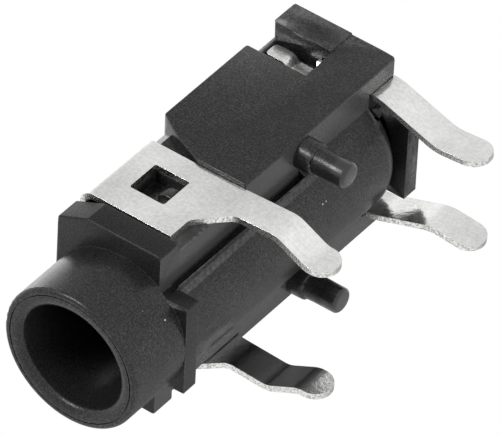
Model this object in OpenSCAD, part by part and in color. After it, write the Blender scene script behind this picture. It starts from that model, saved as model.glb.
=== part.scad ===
// Horizontal 3.5 mm stereo jack socket for a circuit board, in millimetres.
// The board lies in the plane z = 0 with the socket above it. The plug enters along +y. The origin is on the board,
// midway between the two locating pegs.

/* [Plug and nose] */
// Diameter of the plug that the socket takes
plug_d = 3.5; // [3.4:0.05:3.6]
// Room around the plug in the guide bore, per side
plug_play = 0.1; // [0.05:0.01:0.2]
// Length of the plug from its shoulder
plug_l = 14; // [13.6:0.1:14]
// Outer diameter of the nose and of the barrel behind it
nose_d = 5; // [4.8:0.05:5.4]
// Length of the nose in front of the flange
nose_l = 2.45; // [1.5:0.05:3]
// Rounding of the nose's outer edge
nose_round = 0.14; // [0.05:0.01:0.2]
// Width of the rounding around the mouth
mouth_w = 0.32; // [0.1:0.01:0.35]
// Depth of the rounding around the mouth
mouth_l = 0.2; // [0.1:0.01:0.3]
// Distance of the groove in the nose face from the nose's side
groove_in = 0.22; // [0.2:0.01:0.24]
// Width and depth of the groove in the nose face
groove_w = 0.05; // [0.03:0.01:0.06]
// Length of the close guide bore, from the nose face
guide_l = 2.75; // [2.5:0.05:2.8]
// Length of the relief behind the guide bore
relief_l = 0.56; // [0.52:0.02:0.6]
// Depth of the relief behind the guide bore
relief_h = 0.25; // [0.16:0.01:0.3]
// Step from the guide bore to the chamber
chamber_step = 0.04; // [0.02:0.01:0.05]
// Room behind the plug's tip
tip_room = 0.05; // [0.02:0.01:0.1]

/* [Body] */
// Height of the plug's axis above the board
axis_h = 2.5; // [2.5:0.05:2.8]
// Length over all
total_l = 14.3; // [14.3:0.05:15]
// Height of the body's top above the board
body_top = 4.95; // [4.9:0.05:5.4]
// Height of the body's underside above the board
deck_h = 1.06; // [0.9:0.02:1.15]
// Width of the front flange
flange_w = 6.44; // [6.3:0.02:6.8]
// Rounding of the front flange's corners
flange_round = 0.1; // [0.04:0.02:0.16]
// Thickness of the front flange
flange_t = 0.92; // [0.7:0.02:1.1]
// Width of the sloped upper corners of the flange
corner_w = 0.5; // [0.3:0.02:0.7]
// Drop of the sloped upper corners of the flange
corner_h = 1.12; // [0.6:0.02:1.4]
// Width of the waist that the clip saddles
waist_w = 5.74; // [5.6:0.02:5.9]
// Width over the two raised covers
cover_w = 6.5; // [6.4:0.02:6.8]
// Rounding of the covers' lower edges
cover_round = 0.12; // [0.08:0.01:0.13]
// How far the covers' upper front corners are cut back, along the plug
cut_l = 1.06; // [0.8:0.02:1.5]
// How far the covers' upper front corners are cut down
cut_h = 2.08; // [1.5:0.02:2.3]
// Radius of that cut
cut_r = 8; // [2:0.1:12]
// Gap between the clip and the covers
cover_gap = 0.02; // [0.01:0.01:0.05]

/* [Board side] */
// Gap between the barrel and the rear wall
barrel_gap = 0.25; // [0.2:0.05:1]
// Rounding of the barrel's rear edge
barrel_round = 0.7; // [0.1:0.05:0.8]
// Half width of the neck between the barrel and the body
neck_x = 1.57; // [1.4:0.01:1.6]
// End of the slots beside the neck, from the nose face
neck_end = 9.4; // [8:0.1:10]
// Height of the barrel's lips at the slots, above the board
lip_h = 0.8; // [0.6:0.02:0.84]
// Width of the front rib and the rear wall, which stand on the board
foot_w = 3.46; // [3.2:0.02:3.5]
// Thickness of the front rib
rib_t = 0.6; // [0.4:0.02:0.8]
// Thickness of the rear wall
rear_t = 0.6; // [0.5:0.02:0.65]
// Bevel of the rear wall's lower corners
rear_bevel = 0.12; // [0.05:0.01:0.2]
// Distance of the locating pegs from the nose face
peg_y = 9.6; // [9.4:0.05:10]
// Distance between the locating pegs
peg_pitch = 5.16; // [5:0.02:5.3]
// Diameter of a peg at its root
peg_root_d = 1.08; // [1:0.02:1.1]
// Diameter of a peg's tip
peg_d = 0.86; // [0.7:0.02:0.95]
// Height of the step on a peg above the board
peg_step = 0.46; // [0.2:0.02:0.7]
// Height of a peg's straight part above the board
peg_fit = 0.1; // [0.05:0.01:0.15]
// Draft of a peg above its straight part, on the diameter
peg_draft = 0.04; // [0.02:0.01:0.06]
// Reach of a peg into the board
peg_reach = 0.74; // [0.6:0.02:1.2]
// Bevel at a peg's end
peg_bevel = 0.08; // [0.03:0.01:0.15]

/* [Clip] */
// Thickness of the clip's sheet
clip_t = 0.22; // [0.18:0.01:0.24]
// Gap between the flange and the clip
clip_gap = 0.18; // [0.02:0.02:0.3]
// Length of the clip along the plug
clip_l = 3.1; // [2.9:0.02:3.3]
// Inner radius of the clip's two bends
clip_bend = 0.3; // [0.2:0.02:0.45]
// Radius of the bends in the front legs
leg_bend = 0.8; // [0.5:0.05:0.9]
// Height of the plates' lower edge above the board
plate_z = 1.53; // [1.3:0.02:1.8]
// Width of a leg
leg_w = 1.18; // [1:0.02:1.3]
// Height where a leg has narrowed to its full width
leg_root = 0.55; // [0.4:0.02:0.8]
// Reach of the front legs below the board's upper face
front_reach = 2.9; // [2.5:0.05:3.2]
// Outward bow of the front legs
front_bow = 0.11; // [0.05:0.01:0.15]
// Depth of the bow below the board's upper face
bow_depth = 0.96; // [0.8:0.02:1.1]
// Inward step of the front legs below the bow
front_kink = 0.58; // [0.4:0.02:0.65]
// Depth of the step's end below the board's upper face
kink_depth = 2.09; // [1.9:0.02:2.3]
// Side of the square latch hole
latch_hole = 1.3; // [1.1:0.02:1.4]
// Distance of the latch hole's middle from the clip's rear edge
latch_set = 1.46; // [1.3:0.02:1.6]
// Height of the latch hole's middle above the plug's axis
latch_up = 0.69; // [0.5:0.02:0.8]
// Room between a latch block and its hole's lower edge
latch_play = 0.06; // [0.04:0.01:0.1]
// Width of a latch block along the plug
latch_w = 0.46; // [0.3:0.02:0.8]
// Height of a latch block
latch_l = 0.5; // [0.4:0.02:0.7]
// Depth of the pocket around a latch block
latch_depth = 0.5; // [0.3:0.02:0.6]
// Rise of a latch block into the sheet, as a share of its thickness
latch_share = 0.7; // [0.5:0.05:1]
// Width of the sleeve tongue
tongue_w = 1.2; // [1:0.02:1.4]
// Thickness of the sleeve tongue
tongue_t = 0.18; // [0.14:0.01:0.2]
// Distance of the tongue's root from the clip's rear edge
tongue_set = 0.42; // [0.35:0.01:0.5]
// Distance of the tongue's free end from the clip's front edge
tongue_lead = 0.46; // [0.4:0.01:0.6]
// Room around the tongue in the plastic
tongue_room_w = 0.08; // [0.06:0.01:0.12]
// Room in front of the tongue's free end
tongue_room_l = 0.25; // [0.2:0.01:0.3]

/* [Contacts] */
// Thickness of the contact strips
strip_t = 0.2; // [0.16:0.01:0.22]
// Width of the contact strips
strip_w = 1.2; // [1:0.02:1.3]
// Distance of the strips' middle from the plug's axis
strip_x = 2.4; // [2.38:0.01:2.45]
// Reach of the rear legs below the board's upper face
rear_reach = 3.05; // [2.6:0.05:3.4]
// Inward slope of the rear legs
rear_kink = 0.78; // [0.6:0.02:0.84]
// Outward turn of the rear legs' ends
rear_turn = 0.14; // [0.05:0.01:0.2]
// Height above the board where a rear leg turns inwards
rear_bend_h = 0.8; // [0.6:0.02:0.9]
// Depth of a rear leg's kink below the board's upper face
rear_kink_depth = 1.4; // [1.2:0.02:1.6]
// Bend radius of the rear legs
rear_bend_r = 1.4; // [0.5:0.05:1.6]
// Distance of the ring contact point from the nose face
ring_y = 8.7; // [8.4:0.05:9]
// Distance of the tip contact point from the nose face
tip_y = 11.05; // [10.9:0.05:11.3]
// Distance of the tip strip's fold from the nose face
fold_y = 7.75; // [7.7:0.05:7.9]
// Distance between the tip strip and its folded arm
fold_w = 0.4; // [0.36:0.01:0.42]
// Straight length of a strip in front of its leg
root_set = 0.95; // [0.9:0.01:1]
// How far a contact reaches into the plug's place at rest
bite = 0.45; // [0.3:0.02:0.46]
// Gap at the fold where a spring bends
fold_gap = 0.04; // [0.03:0.01:0.06]
// Length of the flared end of a contact
flare_l = 0.42; // [0.3:0.02:0.44]
// Rise of the flared end of a contact
flare_h = 0.16; // [0.1:0.01:0.18]
// Bend radius at a contact point
contact_r = 0.2; // [0.15:0.01:0.25]
// Room around the springs in the plastic
spring_room = 0.1; // [0.08:0.01:0.15]
// Room around a leg where it leaves the body
leg_room = 0.1; // [0.08:0.01:0.15]

/* [Window] */
// Length of the rear blocks behind the lock windows
block_l = 1.1; // [1:0.02:1.2]
// Length of the lock windows
window_l = 1.33; // [1.2:0.02:1.4]
// Height of the windows' lower edge above the plug's axis
window_up = 0.2; // [0.1:0.02:0.3]
// Thickness of the sill that closes a window at the top
sill_t = 0.24; // [0.15:0.01:0.3]
// Height of the sill above the strip's middle
sill_x = 0.2; // [0.1:0.01:0.3]
// Rise of the rear block above the cover
block_rise = 0.05; // [0.02:0.01:0.1]
// Width of the lock finger
finger_w = 0.56; // [0.5:0.02:0.6]
// Distance of the lock finger from the window's front edge
finger_set = 0.52; // [0.45:0.01:0.55]
// Room above the lock finger
finger_room = 0.1; // [0.05:0.01:0.15]
// Sideways joggle of the lock finger
joggle = 0.22; // [0.1:0.01:0.24]
// Length of the finger's end behind the joggle
joggle_end = 0.66; // [0.6:0.01:0.7]
// Length of the joggle
joggle_l = 0.25; // [0.2:0.01:0.28]
// Bend radius of the joggle
joggle_r = 0.12; // [0.08:0.01:0.14]
// Corner rounding of the lock finger
finger_round = 0.12; // [0.08:0.01:0.15]
// Thickness of the barb
barb_t = 0.14; // [0.1:0.01:0.15]
// Width of the barb
barb_w = 0.3; // [0.25:0.01:0.35]
// Height of the barb
barb_h = 0.42; // [0.3:0.01:0.5]
// Gap between the barb and the rear block
barb_gap = 0.06; // [0.03:0.01:0.1]

/* [Hidden] */
$fn = 64;
seat_play = 0.01;    // room between a metal piece and the plastic that holds it
cut_past = 0.5;      // how far a cutting tool runs past the face that it opens
arc_steps = 6;       // straight pieces in a bend
plug_r = plug_d / 2;
guide_r = plug_r + plug_play;
chamber_r = guide_r + chamber_step;
nose_r = nose_d / 2;
flange_y = nose_l + flange_t;
clip_y = flange_y + clip_gap;
clip_end = clip_y + clip_l;
cover_y = clip_end + cover_gap;
waist_x = waist_w / 2;
cover_x = cover_w / 2;
waist_top = body_top - clip_t;
plate_x = waist_x + clip_t / 2;
roof_z = body_top - clip_t / 2;
slot_x0 = strip_x - strip_t / 2 - seat_play;
slot_x1 = strip_x + strip_t / 2 + seat_play;
strip_z0 = axis_h - strip_w / 2;
strip_z1 = axis_h + strip_w / 2;
rear_y = total_l - rear_t;
barrel_l = rear_y - barrel_gap;
block_y = total_l - block_l;
window_y = block_y - window_l;
plate_y = total_l - leg_w;
root_y = plate_y - root_set;
arm_x = strip_x - fold_w;
fold_r = 0.4 * fold_w;
rib_end = nose_l + rib_t;
tongue_root = clip_end - tongue_set;
tongue_end = clip_y + tongue_lead;
tongue_tip_z = axis_h + plug_r - bite + tongue_t / 2;
latch_y = clip_end - latch_set;
latch_z = axis_h + latch_up;
contact_x = plug_r - bite + strip_t / 2;

// Geometry shared by the sheet pieces

// Unit vector along v
function unit(v) = v / norm(v);

// Vector v turned by angle a
function spun(v, a) = [v.x * cos(a) - v.y * sin(a), v.x * sin(a) + v.y * cos(a)];

// Angle that a path turns by at its point i
function turn(p, i) =
    let (d = unit(p[i] - p[i - 1]), e = unit(p[i + 1] - p[i]))
    atan2(cross(d, e), d * e);

// Arc that rounds a path off with radius r at its point i
function bend(p, i, r) =
    let (d = unit(p[i] - p[i - 1]), a = turn(p, i), s = p[i] - d * r * tan(abs(a) / 2))
    let (c = s + spun(d, sign(a) * 90) * r)
    [for (k = [0:arc_steps]) c + spun(s - c, a * k / arc_steps)];

// Path p with every inner corner rounded off, by one radius or by one for each point
function rounded(p, r) =
    concat([p[0]], [for (i = [1:len(p) - 2]) each bend(p, i, is_list(r) ? r[i] : r)], [p[len(p) - 1]]);

// Left-hand normal of the stretch that ends at point i
function left(p, i) = spun(unit(p[i] - p[i - 1]), 90);

// Path p moved sideways by d
function beside(p, d) =
    let (n = len(p) - 1)
    [for (i = [0:n])
        let (a = left(p, max(i, 1)), b = left(p, min(i + 1, n)), m = unit(a + b))
        p[i] + m * d / (m * a)];

// Outline of a sheet of thickness t that follows path p
function sheet(p, t) = concat(beside(p, t / 2), [for (q = [len(p) - 1:-1:0]) beside(p, -t / 2)[q]]);

// Path p as seen in a mirror across the vertical axis, run backwards
function mirrored(p) = [for (i = [len(p) - 1:-1:0]) [-p[i].x, p[i].y]];

// Arc of radius r from point p to point q, bulging to the left of the way
function arc_between(p, q, r) =
    let (h = norm(q - p) / 2, m = (p + q) / 2, c = m - spun(unit(q - p), 90) * sqrt(r * r - h * h), a = asin(h / r))
    [for (k = [0:2 * arc_steps]) c + spun(p - c, -a * k / arc_steps)];

// Moves the children from the nose face to the origin between the pegs
module place() {
    translate([0, -peg_y, 0]) children();
}

// Extrudes an outline in x and z along y
module along_y(y0, y1) {
    translate([0, y1, 0]) rotate([90, 0, 0]) linear_extrude(y1 - y0) children();
}

// Extrudes an outline in y and z along x
module along_x(x0, x1) {
    translate([x0, 0, 0]) rotate([90, 0, 90]) linear_extrude(x1 - x0) children();
}

// Extrudes an outline in x and y along z
module along_z(z0, z1) {
    translate([0, 0, z0]) linear_extrude(z1 - z0) children();
}

// Turns an outline of radius and length about the plug's axis
module about_plug() {
    translate([0, 0, axis_h]) rotate([-90, 0, 0]) rotate_extrude() children();
}

// Box between two corners
module box(lo, hi) {
    translate(lo) cube(hi - lo);
}

// The children and their mirror image on the other side of the plug
module both_sides() {
    children();
    mirror([1, 0, 0]) children();
}

// Housing

// Nose: a round bar with an eased edge in front of the flange
module nose() {
    about_plug() difference() {
        square([nose_r, nose_l]);
        edge_round(nose_r, 0, nose_round);
        translate([nose_r - groove_in - groove_w / 2, -cut_past]) square([groove_w, cut_past + groove_w]);
    }
}

// Lower half of the barrel behind the rib, with a slot beside its neck and an eased rear edge
module barrel() {
    difference() {
        about_plug() difference() {
            translate([0, rib_end]) square([nose_r, barrel_l - rib_end]);
            translate([0, barrel_l]) mirror([0, 1]) edge_round(nose_r, 0, barrel_round);
        }
        box([-nose_d, 0, axis_h], [nose_d, total_l, nose_d + axis_h]);
        both_sides() box([neck_x, rib_end, lip_h], [nose_d, neck_end, deck_h]);
    }
}

// Waste outside a quarter round at the outer end of a turned profile
module edge_round(r, y, e) {
    translate([r - e, y]) difference() {
        square(e + cut_past);
        translate([0, e]) circle(e);
        translate([-e, e]) square([2 * e, cut_past]);
    }
}

// Flange with sloped upper corners
module flange() {
    w = flange_w / 2;
    path = [[0, deck_h], [w, deck_h], [w, body_top - corner_h], [w - corner_w, body_top], [0, body_top]];
    eased = rounded(path, flange_round);
    half = [for (i = [1:len(eased) - 2]) eased[i]];
    along_y(nose_l, flange_y) polygon(concat(half, mirrored(half)));
}

// Section of the body behind the clip, with rounded lower edges
module cover_section(half_w) {
    r = cover_round;
    for (s = [-1, 1]) translate([s * (half_w - r), deck_h + r]) circle(r);
    translate([-half_w, deck_h + r]) square([2 * half_w, body_top - deck_h - r]);
    translate([r - half_w, deck_h]) square([2 * (half_w - r), r]);
}

// Section of the body between its sides, with its upper corners cut for the clip's bends
module waist_section(top) {
    c = clip_bend + clip_t;
    half = [[waist_x, deck_h], [waist_x, top - c], [waist_x - c, top]];
    polygon(concat(half, mirrored(half)));
}

// Waist under the clip
module waist() {
    along_y(flange_y - cut_past / 2, total_l) waist_section(waist_top);
}

// Raised cover outline seen from the side: its upper front corner is cut back by an arc
module cover_outline() {
    p = [cover_y, body_top - cut_h];
    q = [cover_y + cut_l, body_top];
    polygon(concat([[total_l, deck_h], [cover_y, deck_h]], arc_between(p, q, cut_r), [[total_l, body_top]]));
}

// The two raised covers and the roof between them
module covers() {
    intersection() {
        along_y(cover_y, total_l) cover_section(cover_x);
        union() {
            along_x(-cover_x, cover_x) cover_outline();
            along_y(cover_y, total_l) waist_section(body_top);
        }
    }
}

// Rear blocks, a little higher than the covers
module rear_blocks() {
    both_sides() box([0, block_y, axis_h + window_up], [cover_x + block_rise, total_l, body_top]);
}

// Wall at the rear that stands on the board
module rear_wall() {
    w = foot_w / 2;
    half = [[w, deck_h + cut_past / 2], [w, rear_bevel], [w - rear_bevel, 0]];
    along_y(rear_y, total_l) polygon(concat(half, mirrored(half)));
}

// Rib behind the nose that stands on the board
module front_rib() {
    box([-foot_w / 2, nose_l, 0], [foot_w / 2, nose_l + rib_t, axis_h]);
}

// Stepped locating peg, with draft above the part that sits in the board
module peg() {
    translate([peg_pitch / 2, peg_y, 0]) {
        translate([0, 0, peg_step])
            cylinder(d1 = peg_root_d - peg_draft, d2 = peg_root_d, h = deck_h + cover_round - peg_step);
        translate([0, 0, peg_fit]) cylinder(d1 = peg_d, d2 = peg_d + peg_draft, h = peg_step - peg_fit);
        translate([0, 0, peg_bevel - peg_reach]) cylinder(d = peg_d, h = peg_reach - peg_bevel + peg_fit);
        translate([0, 0, -peg_reach]) cylinder(d1 = peg_d - 2 * peg_bevel, d2 = peg_d, h = peg_bevel);
    }
}

// Pocket in the waist behind the clip's latch hole
module latch_pocket() {
    h = latch_hole / 2;
    box([waist_x - latch_depth, latch_y - h, latch_z - h], [waist_x + clip_t, latch_y + h, latch_z + h]);
}

// Block in the pocket that snaps into the clip's latch hole: it rises towards the board
module latch_block() {
    rise = clip_t * latch_share;
    base_x = waist_x - latch_depth - clip_t / 2;
    low = latch_z - latch_hole / 2 + latch_play;
    high = low + latch_l;
    along_y(latch_y - latch_w / 2, latch_y + latch_w / 2)
        polygon([[base_x, low], [waist_x + rise, low], [waist_x + rise, low + latch_l / 2],
                 [waist_x, high], [base_x, high]]);
}

// Guide bore with its rounded mouth, the relief behind it and the chamber
module plug_room() {
    mouth_r = guide_r + mouth_w;
    chamber_y = guide_l + relief_l;
    mouth = [for (i = [0:arc_steps]) let (a = 90 * i / arc_steps)
        [guide_r + mouth_w * (1 - sin(a)), mouth_l * (1 - cos(a))]];
    walls = [[guide_r, guide_l], [guide_r + relief_h, guide_l], [guide_r + relief_h, chamber_y],
             [chamber_r, chamber_y], [chamber_r, plug_l + tip_room], [0, plug_l + tip_room]];
    about_plug() polygon(concat([[0, -cut_past], [mouth_r, -cut_past]], mouth, walls));
}

// Room for one contact: the strip's slot, the spring's pocket, the leg's way out and the lock window
module contact_room() {
    past_y = total_l + cut_past;
    fold_front = fold_y - fold_w - spring_room;
    pocket_end = max(root_y, tip_y + flare_l) + spring_room;
    exit_y = plate_y - leg_room;
    sill_z = axis_h + window_up;
    box([slot_x0, fold_front, strip_z0 - seat_play], [slot_x1, past_y, strip_z1 + seat_play]);
    box([plug_r / 2, fold_front, strip_z0 - spring_room], [slot_x1, pocket_end, strip_z1 + spring_room]);
    box([slot_x0, exit_y, 0], [slot_x1, past_y, axis_h]);
    box([strip_x - rear_kink, exit_y, -cut_past], [slot_x1, past_y, deck_h + 2 * leg_room]);
    box([slot_x0, window_y, sill_z], [cover_w, block_y, body_top - sill_t]);
    box([strip_x + sill_x, window_y, sill_z], [cover_w, block_y, body_top + cut_past]);
}

// Hole in the waist's roof for the sleeve tongue
module tongue_room() {
    w = tongue_w / 2 + tongue_room_w;
    box([-w, tongue_end - tongue_room_l - fold_gap, axis_h], [w, tongue_root + 2 * fold_gap, body_top + cut_past]);
}

// Moulding without its pockets, pegs and latches
module shell() {
    nose();
    barrel();
    flange();
    waist();
    covers();
    rear_blocks();
    rear_wall();
    front_rib();
}

module housing() {
    color("#3a3b3d") place() difference() {
        union() {
            difference() {
                shell();
                both_sides() latch_pocket();
            }
            both_sides() peg();
            both_sides() latch_block();
        }
        plug_room();
        both_sides() contact_room();
        tongue_room();
    }
}

// Sleeve clip

// Half of the clip's section: from the tip of a leg up over the roof's middle
function clip_half() = [
    [plate_x + front_bow - front_kink, -front_reach],
    [plate_x + front_bow - front_kink, -kink_depth],
    [plate_x + front_bow, -bow_depth],
    [plate_x, plate_z],
    [plate_x, roof_z],
];

// Outline of a plate and its leg seen from the side
module plate_outline() {
    r = leg_w / 2;
    polygon([[clip_y, body_top + cut_past], [clip_y, plate_z], [clip_end - leg_w - (plate_z - leg_root), plate_z],
             [clip_end - leg_w, leg_root], [clip_end - leg_w, r - front_reach], [clip_end, r - front_reach],
             [clip_end, body_top + cut_past]]);
    translate([clip_end - r, r - front_reach]) circle(r);
}

module sleeve_clip() {
    half = clip_half();
    r = clip_bend + clip_t / 2;
    radii = [0, leg_bend, leg_bend, leg_bend, r, r, leg_bend, leg_bend, leg_bend, 0];
    w = tongue_w / 2 + fold_gap;
    color("#d9d9d6") place() difference() {
        intersection() {
            along_y(clip_y, clip_end)
                polygon(sheet(rounded(concat(half, mirrored(half)), radii), clip_t));
            along_x(-cover_w, cover_w) plate_outline();
        }
        along_x(-cover_w, cover_w) translate([latch_y, latch_z]) square(latch_hole, center = true);
        box([-w, tongue_end - tongue_room_l, axis_h], [w, tongue_root + 2 * fold_gap, body_top + cut_past]);
    }
}

module sleeve_spring() {
    path = [[tongue_root, roof_z], [tongue_end + flare_l, tongue_tip_z], [tongue_end, tongue_tip_z + flare_h]];
    color("#d9d9d6") place() along_x(-tongue_w / 2, tongue_w / 2)
        polygon(sheet(rounded(path, contact_r), tongue_t));
}

// Contacts

// Bent leg at the rear, seen along the plug, with its round end
module rear_leg() {
    r = leg_w / 2;
    path = [[strip_x, axis_h], [strip_x, rear_bend_h], [strip_x - rear_kink, -rear_kink_depth],
            [strip_x - rear_kink + rear_turn, -rear_reach]];
    intersection() {
        along_y(plate_y, total_l) polygon(sheet(rounded(path, rear_bend_r), strip_t));
        along_x(0, cover_x) {
            translate([plate_y, r - rear_reach]) square([leg_w, axis_h + rear_reach]);
            translate([plate_y + r, r - rear_reach]) circle(r);
        }
    }
}

// Lock finger in the window, with a joggle, and the barb that catches the rear block
module lock_finger() {
    top = body_top - sill_t - finger_room;
    bend_z = top - joggle_end;
    path = [[strip_x, axis_h], [strip_x, bend_z - joggle_l], [strip_x + joggle, bend_z], [strip_x + joggle, top]];
    e = finger_round;
    y0 = window_y + finger_set;
    y1 = y0 + finger_w;
    intersection() {
        along_y(y0, y1) polygon(sheet(rounded(path, joggle_r), strip_t));
        along_x(0, cover_x) {
            translate([y0, axis_h]) square([finger_w, top - e - axis_h]);
            translate([y0 + e, axis_h]) square([finger_w - 2 * e, top - axis_h]);
            for (y = [y0 + e, y1 - e]) translate([y, top - e]) circle(e);
        }
    }
    box([strip_x, block_y - barb_gap - barb_t, strip_z1 - barb_w], [strip_x + barb_h, block_y - barb_gap, strip_z1]);
}

// Leg and lock finger of a contact whose flat strip starts at y0
module contact_base(y0) {
    box([strip_x - strip_t / 2, y0, strip_z0], [strip_x + strip_t / 2, total_l, strip_z1]);
    rear_leg();
    lock_finger();
}

module tip_terminal() {
    front = fold_y - fold_w / 2;
    path = [[strip_x, fold_y + fold_gap], [strip_x, front], [arm_x, front], [arm_x, fold_y]];
    color("#cfcfcc") place() {
        contact_base(fold_y);
        along_z(strip_z0, strip_z1) polygon(sheet(rounded(path, fold_r), strip_t));
    }
}

module tip_spring() {
    path = [[arm_x, fold_y + fold_gap], [contact_x, tip_y], [contact_x + flare_h, tip_y + flare_l]];
    color("#cfcfcc") place() along_z(strip_z0, strip_z1) polygon(sheet(rounded(path, contact_r), strip_t));
}

module ring_terminal() {
    color("#cfcfcc") place() mirror([1, 0, 0]) contact_base(root_y);
}

module ring_spring() {
    path = [[strip_x, root_y - fold_gap], [contact_x, ring_y], [contact_x + flare_h, ring_y - flare_l]];
    color("#cfcfcc") place() mirror([1, 0, 0])
        along_z(strip_z0, strip_z1) polygon(sheet(rounded(path, contact_r), strip_t));
}

housing();
sleeve_clip();
sleeve_spring();
tip_terminal();
tip_spring();
ring_terminal();
ring_spring();
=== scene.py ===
import logging
import math
from dataclasses import dataclass, field
from enum import Enum
from typing import Callable

import bmesh
import bpy
import numpy as np
from mathutils import Matrix, Vector


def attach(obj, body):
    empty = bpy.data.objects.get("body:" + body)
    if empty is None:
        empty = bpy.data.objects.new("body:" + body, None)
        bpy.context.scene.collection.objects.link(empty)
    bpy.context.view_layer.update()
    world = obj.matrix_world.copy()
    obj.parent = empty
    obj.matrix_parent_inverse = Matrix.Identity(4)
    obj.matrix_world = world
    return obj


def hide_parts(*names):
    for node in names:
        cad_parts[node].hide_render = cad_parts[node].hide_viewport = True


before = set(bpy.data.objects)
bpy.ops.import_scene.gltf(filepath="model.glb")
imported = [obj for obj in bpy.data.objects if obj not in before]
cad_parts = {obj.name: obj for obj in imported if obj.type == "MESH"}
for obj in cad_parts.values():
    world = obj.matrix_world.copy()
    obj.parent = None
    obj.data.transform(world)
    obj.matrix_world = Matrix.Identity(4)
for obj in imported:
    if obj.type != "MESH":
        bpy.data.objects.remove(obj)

log = logging.getLogger("jack_socket")
MM = 0.001
NOSE_Y = -9.6  # place of the nose face along the plug, in mm, in the board's frame
AXIS_H = 2.5   # height of the plug's axis above the board, in mm
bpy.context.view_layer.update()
LINE_GAP = 0.02  # closest that two grid lines of a strip come, in mm
MERGE = 1e-4     # points closer than this are one point, in mm
TOUCH = 0.01     # how near a corner counts as lying on a line, in mm
SAME = 1e-6      # lengths closer than this are equal, in mm
SHARP = math.radians(40)  # an edge that turns by more is a sharp one
LEG_LINES = 15   # grid lines across a leg
ARM_LINES = 9    # grid lines across a finger or a spring
BARB_LINES = 5   # grid lines across a barb


class Body(Enum):
    """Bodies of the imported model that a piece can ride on."""

    SOCKET = "socket"
    SLEEVE = "sleeve_contact"
    TIP = "tip_contact"
    RING = "ring_contact"


class Side(Enum):
    """Side of the plug that a contact stands on, as a factor for x."""

    RIGHT = 1.0
    LEFT = -1.0


class Slot(Enum):
    """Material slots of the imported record."""

    PLASTIC = "plastic"
    PLATED = "plated"


# Shader nodes


class NodeSheet:
    """A node tree with short calls to add and join nodes."""

    def __init__(self, tree: bpy.types.NodeTree) -> None:
        """Keeps the tree that the nodes go into."""
        self.tree = tree

    def add(self, kind: str, values: dict | None = None, **props: object) -> bpy.types.Node:
        """Adds a node.

        Args:
            kind: Blender's type name without the ShaderNode prefix.
            values: input name or number to a constant, or to an output socket that is joined to it.
            props: attributes of the node itself.
        Returns:
            The new node.
        """
        node = self.tree.nodes.new(kind if kind.startswith("Node") else "ShaderNode" + kind)
        for name, value in props.items():
            setattr(node, name, value)
        self.feed(node, values or {})
        return node

    def feed(self, node: bpy.types.Node, values: dict) -> None:
        """Sets or joins inputs of a node.

        Args:
            node: the node.
            values: input name or number to a constant, or to an output socket that is joined to it.
        """
        for name, value in values.items():
            if isinstance(value, bpy.types.NodeSocket):
                self.tree.links.new(value, node.inputs[name])
            else:
                node.inputs[name].default_value = value

    def math(self, operation: str, a: object, b: object = 0.0, clamp: bool = False) -> bpy.types.NodeSocket:
        """Returns the result of a Math node on two sockets or numbers."""
        return self.add("Math", {0: a, 1: b}, operation=operation, use_clamp=clamp).outputs[0]

    def span(
        self, value: object, a: float, b: float, lo: float = 0.0, hi: float = 1.0
    ) -> bpy.types.NodeSocket:
        """Returns a value mapped from the range a to b onto lo to hi, clamped."""
        names = {"Value": value, "From Min": a, "From Max": b, "To Min": lo, "To Max": hi}
        return self.add("MapRange", names).outputs[0]

    def tint(self, factor: object, a: object, b: object) -> bpy.types.NodeSocket:
        """Returns a colour between a and b."""
        return self.add("Mix", {0: factor, 6: a, 7: b}, data_type="RGBA").outputs[2]


def new_group(name: str, inputs: dict[str, tuple[str, object]], outputs: dict[str, str]) -> tuple:
    """Starts a shader node group.

    Args:
        name: name of the group.
        inputs: input name to its kind of socket and its default, or None.
        outputs: output name to its kind of socket.
    Returns:
        The node sheet, the group's input sockets inside, and its output node.
    """
    tree = bpy.data.node_groups.new(name, "ShaderNodeTree")
    for label, (kind, default) in inputs.items():
        socket = tree.interface.new_socket(label, in_out="INPUT", socket_type="NodeSocket" + kind)
        if default is not None:
            socket.default_value = default
    for label, kind in outputs.items():
        tree.interface.new_socket(label, in_out="OUTPUT", socket_type="NodeSocket" + kind)
    sheet = NodeSheet(tree)
    return sheet, sheet.add("NodeGroupInput").outputs, sheet.add("NodeGroupOutput")


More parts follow.
